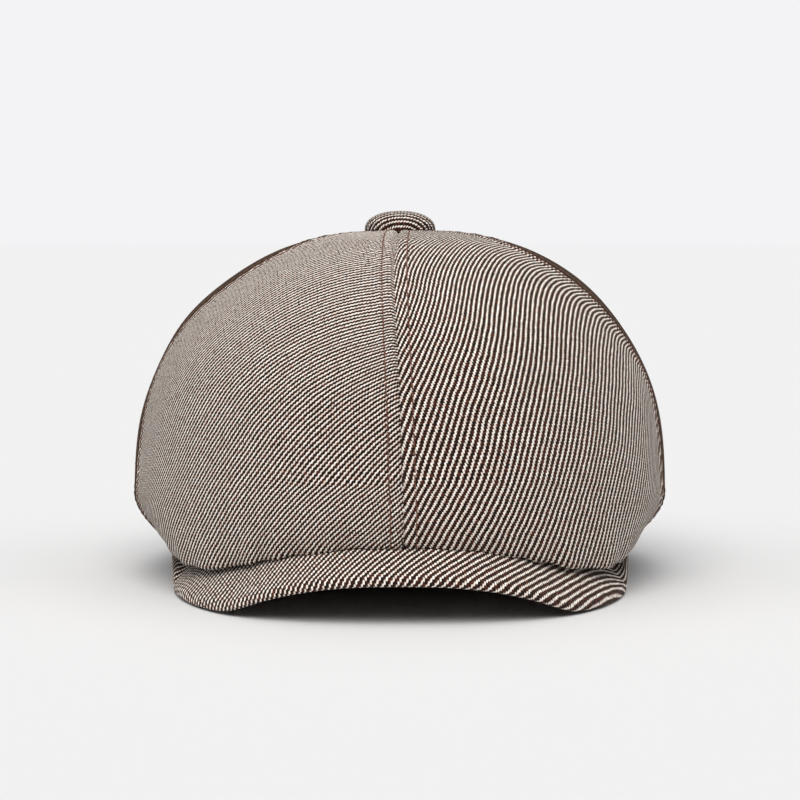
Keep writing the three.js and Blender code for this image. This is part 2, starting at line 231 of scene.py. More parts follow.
def lining_face(turn, way):
    turn, way = np.broadcast_arrays(np.asarray(turn, float), np.asarray(way, float))
    widest = widest_height(turn) + LINING_RAISE
    over = dome(turn, way, LINING_INSET, widest)
    behind = SWEATBAND_THICK + LINING_THICK + LINING_BEHIND
    foot_x, foot_y = (HEAD_X + behind) * np.sin(turn), -(HEAD_Y + behind) * np.cos(turn)
    wide_x, wide_y = widest_outline(turn, LINING_INSET)
    swing = np.clip(way - 1, 0, 1) * QUARTER
    out = np.cos(swing)
    z = mix(widest, band_lift(turn) + LINING_EDGE, np.sin(swing))
    low = points(mix(foot_x, wide_x, out), mix(foot_y, wide_y, out), z)
    return np.where((way > 1)[..., None], low, over)


def per_turn(face, turn, way):
    """How far a face moves for each radian of turn, as a vector."""
    return (face(turn + STEP, way) - face(turn - STEP, way)) / (2 * STEP)


def outwards(face, turn, way):
    """The direction out of a face, square to it."""
    down = face(turn, way + STEP) - face(turn, way - STEP)
    out = np.cross(down, per_turn(face, turn, way))
    return out / np.maximum(np.linalg.norm(out, axis=-1, keepdims=True), 1e-12)


# ---- Mesh builders -------------------------------------------------------------------------------


def to_row(p):
    return (p + np.array([0, HEAD_SHIFT, 0])) * MM


def shell(name, outer, inner, cut, closed_turn=False, pole=False):
    """A closed sheet of cloth from the points of its two faces; cut is where they lie in the flat cut."""
    rows, cols = outer.shape[:2]
    index = np.arange(rows * cols).reshape(rows, cols)
    quads = np.stack([index[:-1, :-1], index[1:, :-1], index[1:, 1:], index[:-1, 1:]], -1).reshape(-1, 4)
    faces = [quads, quads[:, ::-1] + rows * cols]
    other = index + rows * cols
    for edge, back in ((index[-1], other[-1]), (index[0, ::-1], other[0, ::-1])):
        if not (pole and edge[0] == index[0, -1]):
            faces.append(np.stack([edge[:-1], back[:-1], back[1:], edge[1:]], -1))
    if not closed_turn:
        for edge, back in ((index[::-1, -1], other[::-1, -1]), (index[:, 0], other[:, 0])):
            faces.append(np.stack([edge[:-1], back[:-1], back[1:], edge[1:]], -1))
    faces = np.concatenate(faces)
    mesh = bpy.data.meshes.new(name)
    both = np.concatenate([outer.reshape(-1, 3), inner.reshape(-1, 3)])
    mesh.from_pydata(to_row(both).tolist(), [], faces.tolist())
    flat = np.concatenate([cut.reshape(-1, 2)] * 2) * MM
    mesh.uv_layers.new(name="cut").data.foreach_set("uv", flat[faces].ravel())
    return link(name, mesh)


def selected(name, mesh):
    """A new object in edit mode, with all of its mesh selected."""
    made = bpy.data.objects.new(name, mesh)
    bpy.context.scene.collection.objects.link(made)
    bpy.ops.object.select_all(action="DESELECT")
    made.select_set(True)
    bpy.context.view_layer.objects.active = made
    bpy.ops.object.mode_set(mode="EDIT")
    bpy.ops.mesh.select_all(action="SELECT")
    return made


def link(name, mesh):
    """A sheet of cloth as an object, its doubled points merged and its edges kept crisp."""
    made = selected(name, mesh)
    bpy.ops.mesh.remove_doubles(threshold=1e-6)
    bpy.ops.object.mode_set(mode="OBJECT")
    bpy.ops.object.shade_smooth_by_angle(angle=math.radians(50))
    return made


def finished(piece, material, nodes=()):
    """Gives a piece its material and its place on the frame."""
    piece.data.materials.append(material)
    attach(piece, "root")
    if nodes:
        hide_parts(*nodes)
    return piece


def flat_pattern(face, turns, ways):
    """Where each point of a wedge lies when the wedge is unrolled, in millimetres, the apex at the top."""
    surface = face(turns, ways)
    steps = np.linalg.norm(np.diff(surface, axis=1), axis=-1)
    round_ = np.concatenate([np.zeros((len(steps), 1)), np.cumsum(steps, 1)], 1)
    wide = round_[:, -1:]
    middle = surface[:, surface.shape[1] // 2]
    down = np.concatenate([[0], np.cumsum(np.linalg.norm(np.diff(middle, axis=0), axis=-1))])
    # past the widest line the cloth is eased in, so the cut stays straight there
    curve = (np.gradient(wide[:, 0], down) / wide[:, 0]).clip(0)
    for _ in range(3):
        curve = np.convolve(np.pad(curve, 4, mode="edge"), np.ones(9) / 9, "valid")
    a = round_ - wide / 2
    bend = a * curve[:, None]
    x = a * np.sinc(bend / np.pi)
    y = -down[:, None] + a * bend / 2 * np.sinc(bend / 2 / np.pi) ** 2
    return np.stack([x, y], -1)


def skewed(cut, top, bottom):
    """The cut as the weave lies on it: sewing pulls it askew, by one slope at the top and one lower down."""
    down = -cut[..., 1]
    depth = np.linspace(0, 320, 400)
    slopes = mix(top, bottom, smooth(depth, *PULL_CHANGES))
    pull = np.concatenate([[0], np.cumsum(slopes[1:] * np.diff(depth))])
    return np.stack([cut[..., 0] + np.interp(down, depth, pull), cut[..., 1]], -1)


def cut_size(cut):
    """The flat size and the flat area of a cut, in metres."""
    a, b = cut[1:, 1:] - cut[:-1, :-1], cut[:-1, 1:] - cut[1:, :-1]
    area = np.abs(a[..., 0] * b[..., 1] - a[..., 1] * b[..., 0]).sum() / 2
    size = np.ptp(cut.reshape(-1, 2), axis=0)
    return {"flat": tuple(float(s) * MM for s in size), "area": float(area) * MM * MM}


# ---- The crown's relief --------------------------------------------------------------------------
WAVES = []  # long soft waves in all directions, in millimetres
for length in (46, 52, 60, 66, 74, 82, 90):
    direction = rng.normal(size=3)
    WAVES.append((direction / np.linalg.norm(direction) * 2 * math.pi / length, rng.uniform(0, 2 * math.pi)))


def ripples(p):
    return sum(np.sin(p @ direction + phase) for direction, phase in WAVES) / len(WAVES)


def seam_turn(seam, side, way):
    """The turn of a seam at a way down the crown; the centre seam wanders a little from the middle."""
    turn = side * mix(seam[0], seam[1], smooth(way, *SEAM_SWING))
    return turn + (-0.03 + 0.042 * smooth(way, 0.3, 1.2) if seam is CENTRE_SEAM else 0)


def crown_cloth(turn, way, seam_gap):
    """The sewn crown: crown_face with valleys at the seams, padded allowances, puckers and soft hollows."""
    p = crown_face(turn, way)
    out = outwards(crown_face, turn, way)
    down = way * CROWN_RUN
    valley = -1.15 * np.exp(-((seam_gap / 0.9) ** 2))
    allowance = 0.5 * (1 - smooth(seam_gap, 5.2, 8.5)) * (1 - np.exp(-((seam_gap / 1.3) ** 2)))
    stitched = -0.42 * np.exp(-(((seam_gap - STITCH_IN) / 0.8) ** 2))
    near = np.exp(-((seam_gap - STITCH_IN) ** 2) / 50)
    pucker = 0.16 * near * np.sin(2 * math.pi * down / 7.3 + 1.7 * np.sin(down / 11))
    puff = 0.8 * smooth(seam_gap, 8, 40)
    under = smooth(way, 1.15, FOLD) * (1 - smooth(way, 1.75, 2))
    gathers = 0.5 * under * np.sin(turn * 41 + 1.3 * np.sin(turn * 13)) * smooth(seam_gap, 2, 14)
    calm = smooth(way, 0.05, 0.3) * (1 - smooth(way, 1.5, 1.7))
    hollows = 1.1 * calm * ripples(p)
    lift = valley + allowance + stitched + pucker + puff + gathers + hollows
    lift = lift * (1 - smooth(way, 1.8, 2) * 0.8)
    # the right side sags a little half way down, and the left shoulder stands fuller
    slump = np.exp(-(((p[..., 0] + 78) / 30) ** 2)) * np.exp(-(((way - 0.5) / 0.22) ** 2))
    plump = np.exp(-(((p[..., 0] - 42) / 24) ** 2)) * smooth(p[..., 2], 120, 150)
    return p + out * lift[..., None] + points(0 * slump, 0 * slump, 1.1 * plump - 1.6 * slump)


def crown_ways():
    upper = PANEL_TIP + (1 - PANEL_TIP) * np.linspace(0, 1, 92) ** 1.25
    return np.concatenate([upper, np.linspace(1, FOLD, 30)[1:], np.linspace(FOLD, 2, 14)[1:]])


def wedge(seams, side, across, ways):
    """The turns and ways of a wedge's points, closer together near its seams, and the turns of both seams."""
    even = np.linspace(0, 1, across)
    share = 0.35 * even + 0.65 * (0.5 - 0.5 * np.cos(math.pi * even))
    way = np.repeat(ways[:, None], across, 1)
    ends = [seam_turn(seam, side, way) for seam in (seams if side > 0 else seams[::-1])]
    return mix(*ends, share[None, :]), way, *ends


def seam_distance(face, turn, way, start, end):
    """How far a point of a wedge lies from the nearer of its two seams."""
    pace = np.linalg.norm(per_turn(face, turn, way), axis=-1)
    return np.minimum(turn - start, end - turn) * pace


# ---- Materials -----------------------------------------------------------------------------------


def paint(colour):
    """An sRGB hex colour as linear RGBA."""
    srgb = [int(colour[i : i + 2], 16) / 255 for i in (1, 3, 5)]
    return tuple(c / 12.92 if c <= 0.04045 else ((c + 0.055) / 1.055) ** 2.4 for c in srgb) + (1.0,)


def add(tree, kind, links=(), **settings):
    """Adds a node: links maps its sockets to nodes, sockets or plain values."""
    made = tree.nodes.new(kind)
    for key, value in settings.items():
        setattr(made, key, value)
    for socket, source in dict(links).items():
        if isinstance(source, bpy.types.Node):
            source = source.outputs[0]
        if isinstance(source, bpy.types.NodeSocket):
            tree.links.new(source, made.inputs[socket])
        else:
            made.inputs[socket].default_value = source
    return made


def new_material(name):
    made = bpy.data.materials.new(name)
    made.use_nodes = True
    made.node_tree.nodes.clear()
    return made, made.node_tree


def surface(tree, colour, roughness, height=None, bump=0.1, metallic=0.0, sheen=0.0, specular=0.5):
    """Closes a material: its shader, with the relief that height gives, in millimetres."""
    links = {"Base Color": colour, "Roughness": roughness, "Metallic": metallic}
    links["Specular IOR Level"] = specular
    if sheen:
        links["Sheen Weight"] = sheen
        links["Sheen Roughness"] = 0.6
        links["Sheen Tint"] = paint("#d8cfc2")
    if height is not None:
        relief = {"Height": height, "Distance": bump * MM, "Strength": 1.0}
        links["Normal"] = add(tree, "ShaderNodeBump", relief)
    shader = add(tree, "ShaderNodeBsdfPrincipled", links)
    add(tree, "ShaderNodeOutputMaterial", {"Surface": shader})


# Thick wool-blend twill. Its rope-like wales of short slanted yarns read as ragged cream and near-black brown
# stripes with rust flecks, on a dry matt face. felted is how far from the button the nap hides the wales.
def twill(name, pitch, lean, dark_share=0.0, felted=0.0, yarn=1.5, slant=1.1):
    made, t = new_material(name)
    cut = add(t, "ShaderNodeUVMap", uv_map="cut")
    mm = add(t, "ShaderNodeVectorMath", {0: cut, "Scale": 1 / MM}, operation="SCALE")
    wander = mm
    for size, sway in ((38.0, 1.1), (7.0, 0.34), (1.7, 0.16)):
        drift = add(t, "ShaderNodeTexNoise", {"Vector": mm, "Scale": 1 / size, "Detail": 1.0})
        centred = add(t, "ShaderNodeVectorMath", {0: drift.outputs[1], 1: (0.5,) * 3}, operation="SUBTRACT")
        links = {0: centred, 1: (2 * sway,) * 3, 2: wander}
        wander = add(t, "ShaderNodeVectorMath", links, operation="MULTIPLY_ADD")
    turned = add(t, "ShaderNodeMapping", {"Vector": wander, "Rotation": (0, 0, lean)})
    place = add(t, "ShaderNodeSeparateXYZ", {0: turned})
    across = add(t, "ShaderNodeMath", {0: place.outputs[0], 1: pitch}, operation="DIVIDE")
    along = add(t, "ShaderNodeMath", {0: place.outputs[1], 1: yarn}, operation="DIVIDE")
    slanted = add(t, "ShaderNodeMath", {0: across, 1: slant, 2: along}, operation="MULTIPLY_ADD")
    waves = []
    for steps in (across, slanted):
        angle = add(t, "ShaderNodeMath", {0: steps, 1: 2 * math.pi}, operation="MULTIPLY")
        waves.append(add(t, "ShaderNodeMath", {0: angle}, operation="SINE"))
    wale, twist = waves
    # each short yarn is a cell of its own, with its own shade
    halves = add(t, "ShaderNodeMath", {0: across, 1: 2.0}, operation="MULTIPLY")
    row = add(t, "ShaderNodeMath", {0: halves}, operation="FLOOR")
    place_in_row = add(t, "ShaderNodeMath", {0: slanted}, operation="FLOOR")
    cell = add(t, "ShaderNodeCombineXYZ", {0: row, 1: place_in_row})
    shade = add(t, "ShaderNodeTexWhiteNoise", {"Vector": cell}, noise_dimensions="2D")
    fibres = add(t, "ShaderNodeTexNoise", {"Vector": mm, "Scale": 0.85, "Detail": 4.0, "Roughness": 0.75})
    loose = add(t, "ShaderNodeMath", {0: fibres, 1: 0.5}, operation="SUBTRACT")
    ragged = add(t, "ShaderNodeMath", {0: loose, 1: 2.4}, operation="MULTIPLY")
    if felted:
        depth = add(t, "ShaderNodeSeparateXYZ", {0: mm}).outputs[1]
        limits = {"Value": depth, "From Min": -felted, "From Max": -felted * 0.45}
        nap = add(t, "ShaderNodeMapRange", limits, interpolation_type="SMOOTHSTEP")
        clear = add(t, "ShaderNodeMath", {0: nap, 1: -0.75, 2: 1.0}, operation="MULTIPLY_ADD")
        wale = add(t, "ShaderNodeMath", {0: wale, 1: clear}, operation="MULTIPLY")
        wale = add(t, "ShaderNodeMath", {0: nap, 1: 0.3, 2: wale}, operation="MULTIPLY_ADD")
    twisted = add(t, "ShaderNodeMath", {0: twist, 1: 0.48, 2: wale}, operation="MULTIPLY_ADD")
    edge = add(t, "ShaderNodeMath", {0: twisted, 1: ragged}, operation="ADD")
    limits = {"Value": edge, "From Min": dark_share - 0.16, "From Max": dark_share + 0.2}
    cream = add(t, "ShaderNodeMapRange", limits, interpolation_type="SMOOTHSTEP")
    light = add(t, "ShaderNodeMix", {0: shade, 6: paint("#e8d9cb"), 7: paint("#fff8ee")}, data_type="RGBA")
    flecks = add(t, "ShaderNodeTexNoise", {"Vector": mm, "Scale": 0.7, "Detail": 3.0, "Roughness": 0.6})
    rust = add(t, "ShaderNodeMapRange", {"Value": flecks, "From Min": 0.46, "From Max": 0.68})
    dark = add(t, "ShaderNodeMix", {0: rust, 6: paint("#120804"), 7: paint("#5e2c1a")}, data_type="RGBA")
    woven = add(t, "ShaderNodeMix", {0: cream, 6: dark.outputs[2], 7: light.outputs[2]}, data_type="RGBA")
    size = add(t, "ShaderNodeMath", {0: wale}, operation="ABSOLUTE")
    height = add(t, "ShaderNodeMath", {0: size, 1: 0.6}, operation="POWER")
    for part, share in ((twist, 0.25), (cream, 0.5), (fibres, 0.6)):
        height = add(t, "ShaderNodeMath", {0: part, 1: share, 2: height}, operation="MULTIPLY_ADD")
    surface(t, woven.outputs[2], 0.92, height, 0.24, sheen=0.1, specular=0.15)
    return made


# Brushed wool. No weave shows, only a short dark nap, slightly cloudy where the brushing turns it.
def brushed_wool():
    made, t = new_material("brushed_brown_wool")
    cut = add(t, "ShaderNodeUVMap", uv_map="cut")
    mm = add(t, "ShaderNodeVectorMath", {0: cut, "Scale": 1 / MM}, operation="SCALE")
    nap = add(t, "ShaderNodeTexNoise", {"Vector": mm, "Scale": 1.6, "Detail": 5.0, "Roughness": 0.75})
    cloudy = add(t, "ShaderNodeTexNoise", {"Vector": mm, "Scale": 0.06, "Detail": 2.0})
    fine = add(t, "ShaderNodeMath", {0: nap, 1: 0.6}, operation="MULTIPLY")
    tone = add(t, "ShaderNodeMath", {0: cloudy, 1: 0.5, 2: fine}, operation="MULTIPLY_ADD")
    colour = add(t, "ShaderNodeValToRGB", {0: tone})
    for stop, (place, shade) in zip(colour.color_ramp.elements, ((0.3, "#20150d"), (0.75, "#47311f"))):
        stop.position = place
        stop.color = paint(shade)
    surface(t, colour, 0.95, nap, 0.3, sheen=0.06, specular=0.1)
    return made


# A plain or ribbed weave. Threads at their real spacing give a fine regular relief, uneven in shade.
def woven_cloth(name, low, high, pitch_x, pitch_y, roughness, bump, sheen=0.2, specular=0.3):
    made, t = new_material(name)
    cut = add(t, "ShaderNodeUVMap", uv_map="cut")
    mm = add(t, "ShaderNodeVectorMath", {0: cut, "Scale": 1 / MM}, operation="SCALE")
    uneven = add(t, "ShaderNodeTexNoise", {"Vector": mm, "Scale": 0.8, "Detail": 3.0})
    place = add(t, "ShaderNodeSeparateXYZ", {0: mm})
    height = 0.0
    for socket, pitch in ((0, pitch_x), (1, pitch_y)):
        if pitch:
            links = {0: place.outputs[socket], 1: 2 * math.pi / pitch}
            angle = add(t, "ShaderNodeMath", links, operation="MULTIPLY")
            wave = add(t, "ShaderNodeMath", {0: angle}, operation="SINE")
            height = add(t, "ShaderNodeMath", {0: wave, 1: 0.25, 2: height}, operation="MULTIPLY_ADD")
    tone = add(t, "ShaderNodeMath", {0: height, 1: 0.5, 2: uneven}, operation="MULTIPLY_ADD")
    tone = add(t, "ShaderNodeMapRange", {"Value": tone, "From Min": 0.2, "From Max": 0.8})
    colour = add(t, "ShaderNodeMix", {0: tone, 6: paint(low), 7: paint(high)}, data_type="RGBA")
    surface(t, colour.outputs[2], roughness, height, bump, sheen=sheen, specular=specular)
    return made


TWILL_LEFT = twill("wool_twill_front_left", 2.2, math.radians(33), dark_share=0.34)
TWILL_RIGHT = twill("wool_twill_front_right", 1.75, math.radians(42), dark_share=0.3, felted=95)
TWILL_VISOR = twill("wool_twill_visor", 2.3, math.radians(36), dark_share=0.42)
TWILL_REAR = twill("wool_twill_rear", 2.1, math.radians(33))
TWILL_BAND = twill("wool_twill_band", 2.1, math.radians(45))
TWILL_BUTTON = twill("wool_twill_button", 2.5, math.radians(88), dark_share=0.55)
WOOL = brushed_wool()
# satin: smooth and brown, with a soft gloss; its threads are drawn coarser than real so that they show
SATIN = woven_cloth("satin_lining", "#3a2519", "#5d4030", 0, 0.5, 0.42, 0.03, sheen=0.0, specular=0.5)
# fused canvas: an open off-white weave, dry and stiff
CANVAS = woven_cloth("fused_canvas", "#d9d4c8", "#efece4", 0.9, 0.9, 0.9, 0.12)
# grosgrain: dark cross ribs with a slight gleam
GROSGRAIN = woven_cloth("ribbed_grosgrain", "#1f1915", "#3a302a", 1.1, 0, 0.6, 0.22, specular=0.4)
# elastic webbing: dark, dull and ribbed along its length
ELASTIC = woven_cloth("ribbed_elastic", "#171310", "#2c2420", 0, 1.6, 0.75, 0.3)
# woven tape: a tight beige weave with crisp edges
TAPE = woven_cloth("woven_label_tape", "#b9ab8b", "#d9cdb2", 0.5, 0.7, 0.7, 0.08, specular=0.4)
# polyester thread: thin rust-brown lines that catch a little light
THREAD = woven_cloth("rust_brown_thread", "#4e2615", "#743f26", 0.35, 0.35, 0.6, 0.05, specular=0.4)


def solid_finish(name, base, other, grain, roughness, bump, metallic):
    """A moulded or stamped surface, its grain in millimetres."""
    made, t = new_material(name)
    place = add(t, "ShaderNodeTexCoord").outputs["Object"]
    noise = add(t, "ShaderNodeTexNoise", {"Vector": place, "Scale": 1 / (grain * MM), "Detail": 3.0})
    colour = add(t, "ShaderNodeMix", {0: noise, 6: paint(base), 7: paint(other)}, data_type="RGBA")
    surface(t, colour.outputs[2], roughness, noise, bump, metallic=metallic)
    return made


# polyethylene sheet: off-white and waxy, with a fine moulded grain
POLYETHYLENE = solid_finish("polyethylene_sheet", "#d8d5cc", "#e9e7e0", 1.2, 0.45, 0.03, 0.0)
# stamped aluminium: satin, with faint drawing marks
ALUMINIUM = solid_finish("stamped_aluminium", "#b9babd", "#d2d3d5", 0.6, 0.38, 0.02, 1.0)

# ---- Crown panels, interlinings and linings ------------------------------------------------------
WEDGES = (
    ("front", (CENTRE_SEAM, SIDE_SEAM), 118, {"left": TWILL_LEFT, "right": TWILL_RIGHT}, "twill"),
    ("side", (SIDE_SEAM, REAR_SEAM), 78, {"left": WOOL, "right": WOOL}, "brown_wool"),
    ("rear", (REAR_SEAM, BACK_SEAM), 78, {"left": TWILL_REAR, "right": TWILL_REAR}, "twill"),
)
WEAVE_PULL = {"left": (0.62, -0.3), "right": (0.0, 0.0)}  # slopes of the skew at the top and lower down
LINING_WAYS = PANEL_TIP + (1 - PANEL_TIP) * np.linspace(0, 1, 34) ** 1.3
LINING_WAYS = np.concatenate([LINING_WAYS, np.linspace(1, 2, 14)[1:]])

for hand, side in (("left", 1), ("right", -1)):
    for place, seams, across, cloths, slot_name in WEDGES:
        turn, way, start, end = wedge(seams, side, across, crown_ways())
        gap = seam_distance(crown_face, turn, way, start, end)
        outer = crown_cloth(turn, way, gap)
        inner = crown_face(turn, way) - outwards(crown_face, turn, way) * CLOTH_THICK
        cut = flat_pattern(crown_face, turn, way)
        weave = skewed(cut, *(WEAVE_PULL[hand] if place == "front" else (0, 0)))
        made = shell(f"{place}_panel_{hand}_cloth", outer, inner, weave)
        finished(made, cloths[hand], [f"{place}_panel_{hand}"])

        turn, way, start, end = wedge(seams, side, 40, LINING_WAYS)
        gap = seam_distance(lining_face, turn, way, start, end)
        face = lining_face(turn, way)
        out = outwards(lining_face, turn, way)
        tuck = 0.5 * np.exp(-((gap / 1.2) ** 2)) + 0.25 * np.sin(turn * 37 + way * 9) * smooth(gap, 2, 12)
        tuck = tuck * smooth(way, 0.05, 0.3) * (1 - smooth(way, 1.7, 2))
        cut = flat_pattern(lining_face, turn, way)
        lined = shell(
            f"lining_{place}_{hand}_satin",
            face + out * tuck[..., None],
            face + out * (tuck - LINING_THICK)[..., None],
            cut,
        )
        finished(lined, SATIN, [f"lining_{place}_{hand}"])

    turn, way, start, end = wedge((CENTRE_SEAM, SIDE_SEAM), side, 40, np.linspace(0.1, 0.9, 26))
    turn = mix(turn, (start + end) / 2, 0.01)  # a little clear of the seams
    face = crown_face(turn, way)
    out = outwards(crown_face, turn, way)
    cut = flat_pattern(crown_face, turn, way)
    stiffener = shell(
        f"front_interlining_{hand}_canvas",
        face - out * INTERLINING_DEPTH,
        face - out * (INTERLINING_DEPTH + INTERLINING_THICK),
        cut,
    )
    finished(stiffener, CANVAS, [f"front_interlining_{hand}"])


# ---- Band, sweatband, elastic, label and tab -----------------------------------------------------


def strip(name, from_turn, to_turn, outward, thick, foot, high, cols, closed=False, ripple=0.0):
    """A strip round the head with rounded edges; outward is its outer face, out from the head opening."""
    edge = thick / 2 * (1 - np.cos(np.linspace(0, QUARTER, 5)))
    rows = np.concatenate([edge, np.linspace(edge[-1], high - edge[-1], 9)[1:-1], high - edge[::-1]])
    turn = np.linspace(from_turn, to_turn, cols)[None, :]
    height = high - rows[:, None]
    near = np.minimum(np.minimum(rows, high - rows)[:, None] / (thick / 2), 1)
    fat = thick / 2 * np.sqrt(1 - (1 - near) ** 2)
    mid = outward - thick / 2 + ripple * np.sin(turn * 150) * np.sin(math.pi * np.clip(height / high, 0, 1))

    def at(out):
        high_up = band_lift(turn) + foot + height
        return points((HEAD_X + out) * np.sin(turn), -(HEAD_Y + out) * np.cos(turn), high_up)

    outer, inner = at(mid + fat), at(mid - fat)
    steps = np.linalg.norm(np.diff(at(mid + 0 * fat)[len(rows) // 2], axis=0), axis=-1)
    run = np.concatenate([[0], np.cumsum(steps)])
    cut = np.stack(np.broadcast_arrays(run[None, :], height), -1)
    return shell(name, outer, inner, cut, closed_turn=closed), cut_size(cut)


band_shape = (BAND_OFFSET, BAND_THICK, 0, BAND_HIGH)
band, size = strip("outer_band_cloth", -math.pi, math.pi, *band_shape, 300, closed=True)
finished(band, TWILL_BAND, ["outer_band"])

sweat_end = math.pi - ELASTIC_HALF_SPAN
sweat = (SWEATBAND_THICK, SWEATBAND_THICK, SWEATBAND_FOOT, SWEATBAND_HIGH)
made, size = strip("sweatband_grosgrain", -sweat_end, sweat_end, *sweat, 240)
finished(made, GROSGRAIN, ["sweatband"])
elastic_end = sweat_end + 0.003
made, size = strip("sweatband_elastic_web", elastic_end, 2 * math.pi - elastic_end, *sweat, 260, ripple=0.35)
finished(made, ELASTIC, ["sweatband_elastic"])

TAB_TURNS = (math.radians(139.7), math.radians(146.4))  # it hangs behind the wearer's left ear
tab, size = strip("size_tab_tape", *TAB_TURNS, outward=-0.3, thick=0.5, foot=9, high=16, cols=12)
finished(tab, TAPE, ["size_tab"])

LABEL_TURNS = (math.radians(168), math.radians(192))
LABEL_WAYS = (0.42, 0.57)
LABEL_FACES = (1.6, 2.1)  # how far its two faces lie inside the lining
ways = np.linspace(*LABEL_WAYS, 18)
turn = np.repeat(np.linspace(*LABEL_TURNS, 32)[None, :], len(ways), 0)
way = np.repeat(ways[:, None], turn.shape[1], 1)
face, out = lining_face(turn, way), outwards(lining_face, turn, way)
cut = flat_pattern(lining_face, turn, way)
label = shell("lining_label_tape", *(face - out * inside for inside in LABEL_FACES), cut)
finished(label, TAPE, ["lining_label"])

# ---- Visor ---------------------------------------------------------------------------------------
ROLL = VISOR_THICK / 2  # radius of the rolled edge
VISOR_CLOTH = 1.0
# how far from the visor's middle its cloth starts to be drawn tighter, and where it is tightest
DRAWN_LEFT = (10, 72)
DRAWN_RIGHT = (20, 80)
DRAWN_ABOUT = 145  # the line ahead of the head's centre where the squeeze moves nothing
EDGE_SPAN = np.linspace(0, VISOR_HALF_WIDTH, 400)
EDGE_STEPS = np.hypot(np.diff(EDGE_SPAN), np.diff(visor_edge_height(EDGE_SPAN)))
EDGE_RUN = np.concatenate([[0], np.cumsum(EDGE_STEPS)])
SLOPE = math.hypot(1, (FRONT_LIFT - VISOR_EDGE_HIGH) / (VISOR_REACH - BAND_Y))


def visor_cut(p):
    """Where a point of the visor lies in its flat cut."""
    x = np.sign(p[..., 0]) * np.interp(np.abs(p[..., 0]), EDGE_SPAN, EDGE_RUN)
    return np.stack([x, p[..., 1] * SLOPE], -1)


def visor_weave(cut):
    """The cut as the weave lies on it: the cloth is drawn tighter towards the visor's left corner."""
    squeeze = 1 - 0.26 * smooth(cut[..., 0], *DRAWN_LEFT) - 0.08 * smooth(-cut[..., 0], *DRAWN_RIGHT)
    across = np.arange(-140.0, 141.0)  # every millimetre, well past both corners
    drawn = np.cumsum(1 + 0.25 * smooth(across, *DRAWN_LEFT))
    x = np.interp(cut[..., 0], across, drawn - drawn[len(across) // 2])
    return np.stack([x, (cut[..., 1] + DRAWN_ABOUT) * squeeze], -1)


turn = np.linspace(-VISOR_ENDS_AT, VISOR_ENDS_AT, 260)[None, :]
root, edge = visor_rule(turn)
length = np.linalg.norm(edge - root, axis=-1)
rim_out = (edge - root) / np.maximum(length, 1e-6)[..., None]
body = np.linspace(0, 1, 46)[:, None]
base = root + (edge - root - rim_out * np.minimum(ROLL, length / 2)[..., None]) * body[..., None]
wrap = np.radians(np.linspace(90, -80, 18))[1:, None]
reach = np.minimum(ROLL, length / 2)
rim = base[-1:] + rim_out * (np.cos(wrap) * reach)[..., None]
rim[..., 2] += ROLL + ROLL * np.sin(wrap)
rim_in = base[-1:] + rim_out * (np.cos(wrap) * reach * (1 - VISOR_CLOTH / ROLL))[..., None]
rim_in[..., 2] += ROLL + (ROLL - VISOR_CLOTH) * np.sin(wrap)
swell = 0.35 * np.sin(math.pi * body) * (1 + 0.6 * ripples(base * 1.4))
top = base + points(0 * swell, 0 * swell, VISOR_THICK + swell)
top_in = base + np.array([0, 0, VISOR_THICK - VISOR_CLOTH])
cut_top = visor_cut(base)
outward = cut_top[-1:] - visor_cut(base[-2:-1])
outward = outward / np.maximum(np.linalg.norm(outward, axis=-1, keepdims=True), 1e-9)
cut_rim = cut_top[-1:] + outward * (ROLL * (QUARTER - wrap))[..., None]
outer = np.concatenate([top, rim])
inner = np.concatenate([top_in, rim_in])
cut = np.concatenate([cut_top, cut_rim])
weave = visor_weave(cut)
made = shell("visor_top_cover_cloth", outer[::-1], inner[::-1], weave[::-1])
finished(made, TWILL_VISOR, ["visor_top_cover"])

made = shell("visor_under_cover_cloth", base, base + np.array([0, 0, VISOR_CLOTH]), cut_top)
finished(made, TWILL_VISOR, ["visor_under_cover"])

# ---- Button --------------------------------------------------------------------------------------
BUTTON_COVER = 1.1
BUTTON_DOME = BUTTON_HIGH - 0.3
BUTTON_TUCK = 1.6  # how far the cloth turns in under the rim
BUTTON_RIM = BUTTON_LOW + 0.2


def button_profile(inset, steps):
    up = np.linspace(QUARTER, 0, steps)
    tuck = np.radians(np.linspace(0, -62, steps // 3))[1:]
    full = 2 / 2.25  # the padded edge is a little fuller than an ellipse
    r = np.concatenate([np.cos(up).clip(0) ** full, np.cos(tuck)]) * (BUTTON_RADIUS - inset)
    z = np.concatenate([np.sin(up) ** full * (BUTTON_DOME - inset), np.sin(tuck) * (BUTTON_TUCK - inset)])
    r[0] = 0
    return r, z + BUTTON_RIM


def button_face(inset, angle):
    r, z = button_profile(inset, 30)
    pleat = 0.18 * np.sin(angle * 22) * smooth(r[:, None], 9, BUTTON_RADIUS) * (z[:, None] < z[0] - 3)
    r = r[:, None] + pleat * (inset == 0)
    return points(r * np.sin(angle), APEX_BACK - r * np.cos(angle), z[:, None])


angle = np.linspace(-math.pi, math.pi, 129)[None, :]
r, z = button_profile(0, 30)
run = np.concatenate([[0], np.cumsum(np.hypot(np.diff(r), np.diff(z)))])[:, None]
cut = np.stack([run * np.sin(angle), -run * np.cos(angle)], -1)
faces = (button_face(0, angle), button_face(BUTTON_COVER, angle))
made = shell("button_cover_cloth", *faces, cut, closed_turn=True, pole=True)
finished(made, TWILL_BUTTON, ["button_cover"])

# ---- Stitching -----------------------------------------------------------------------------------


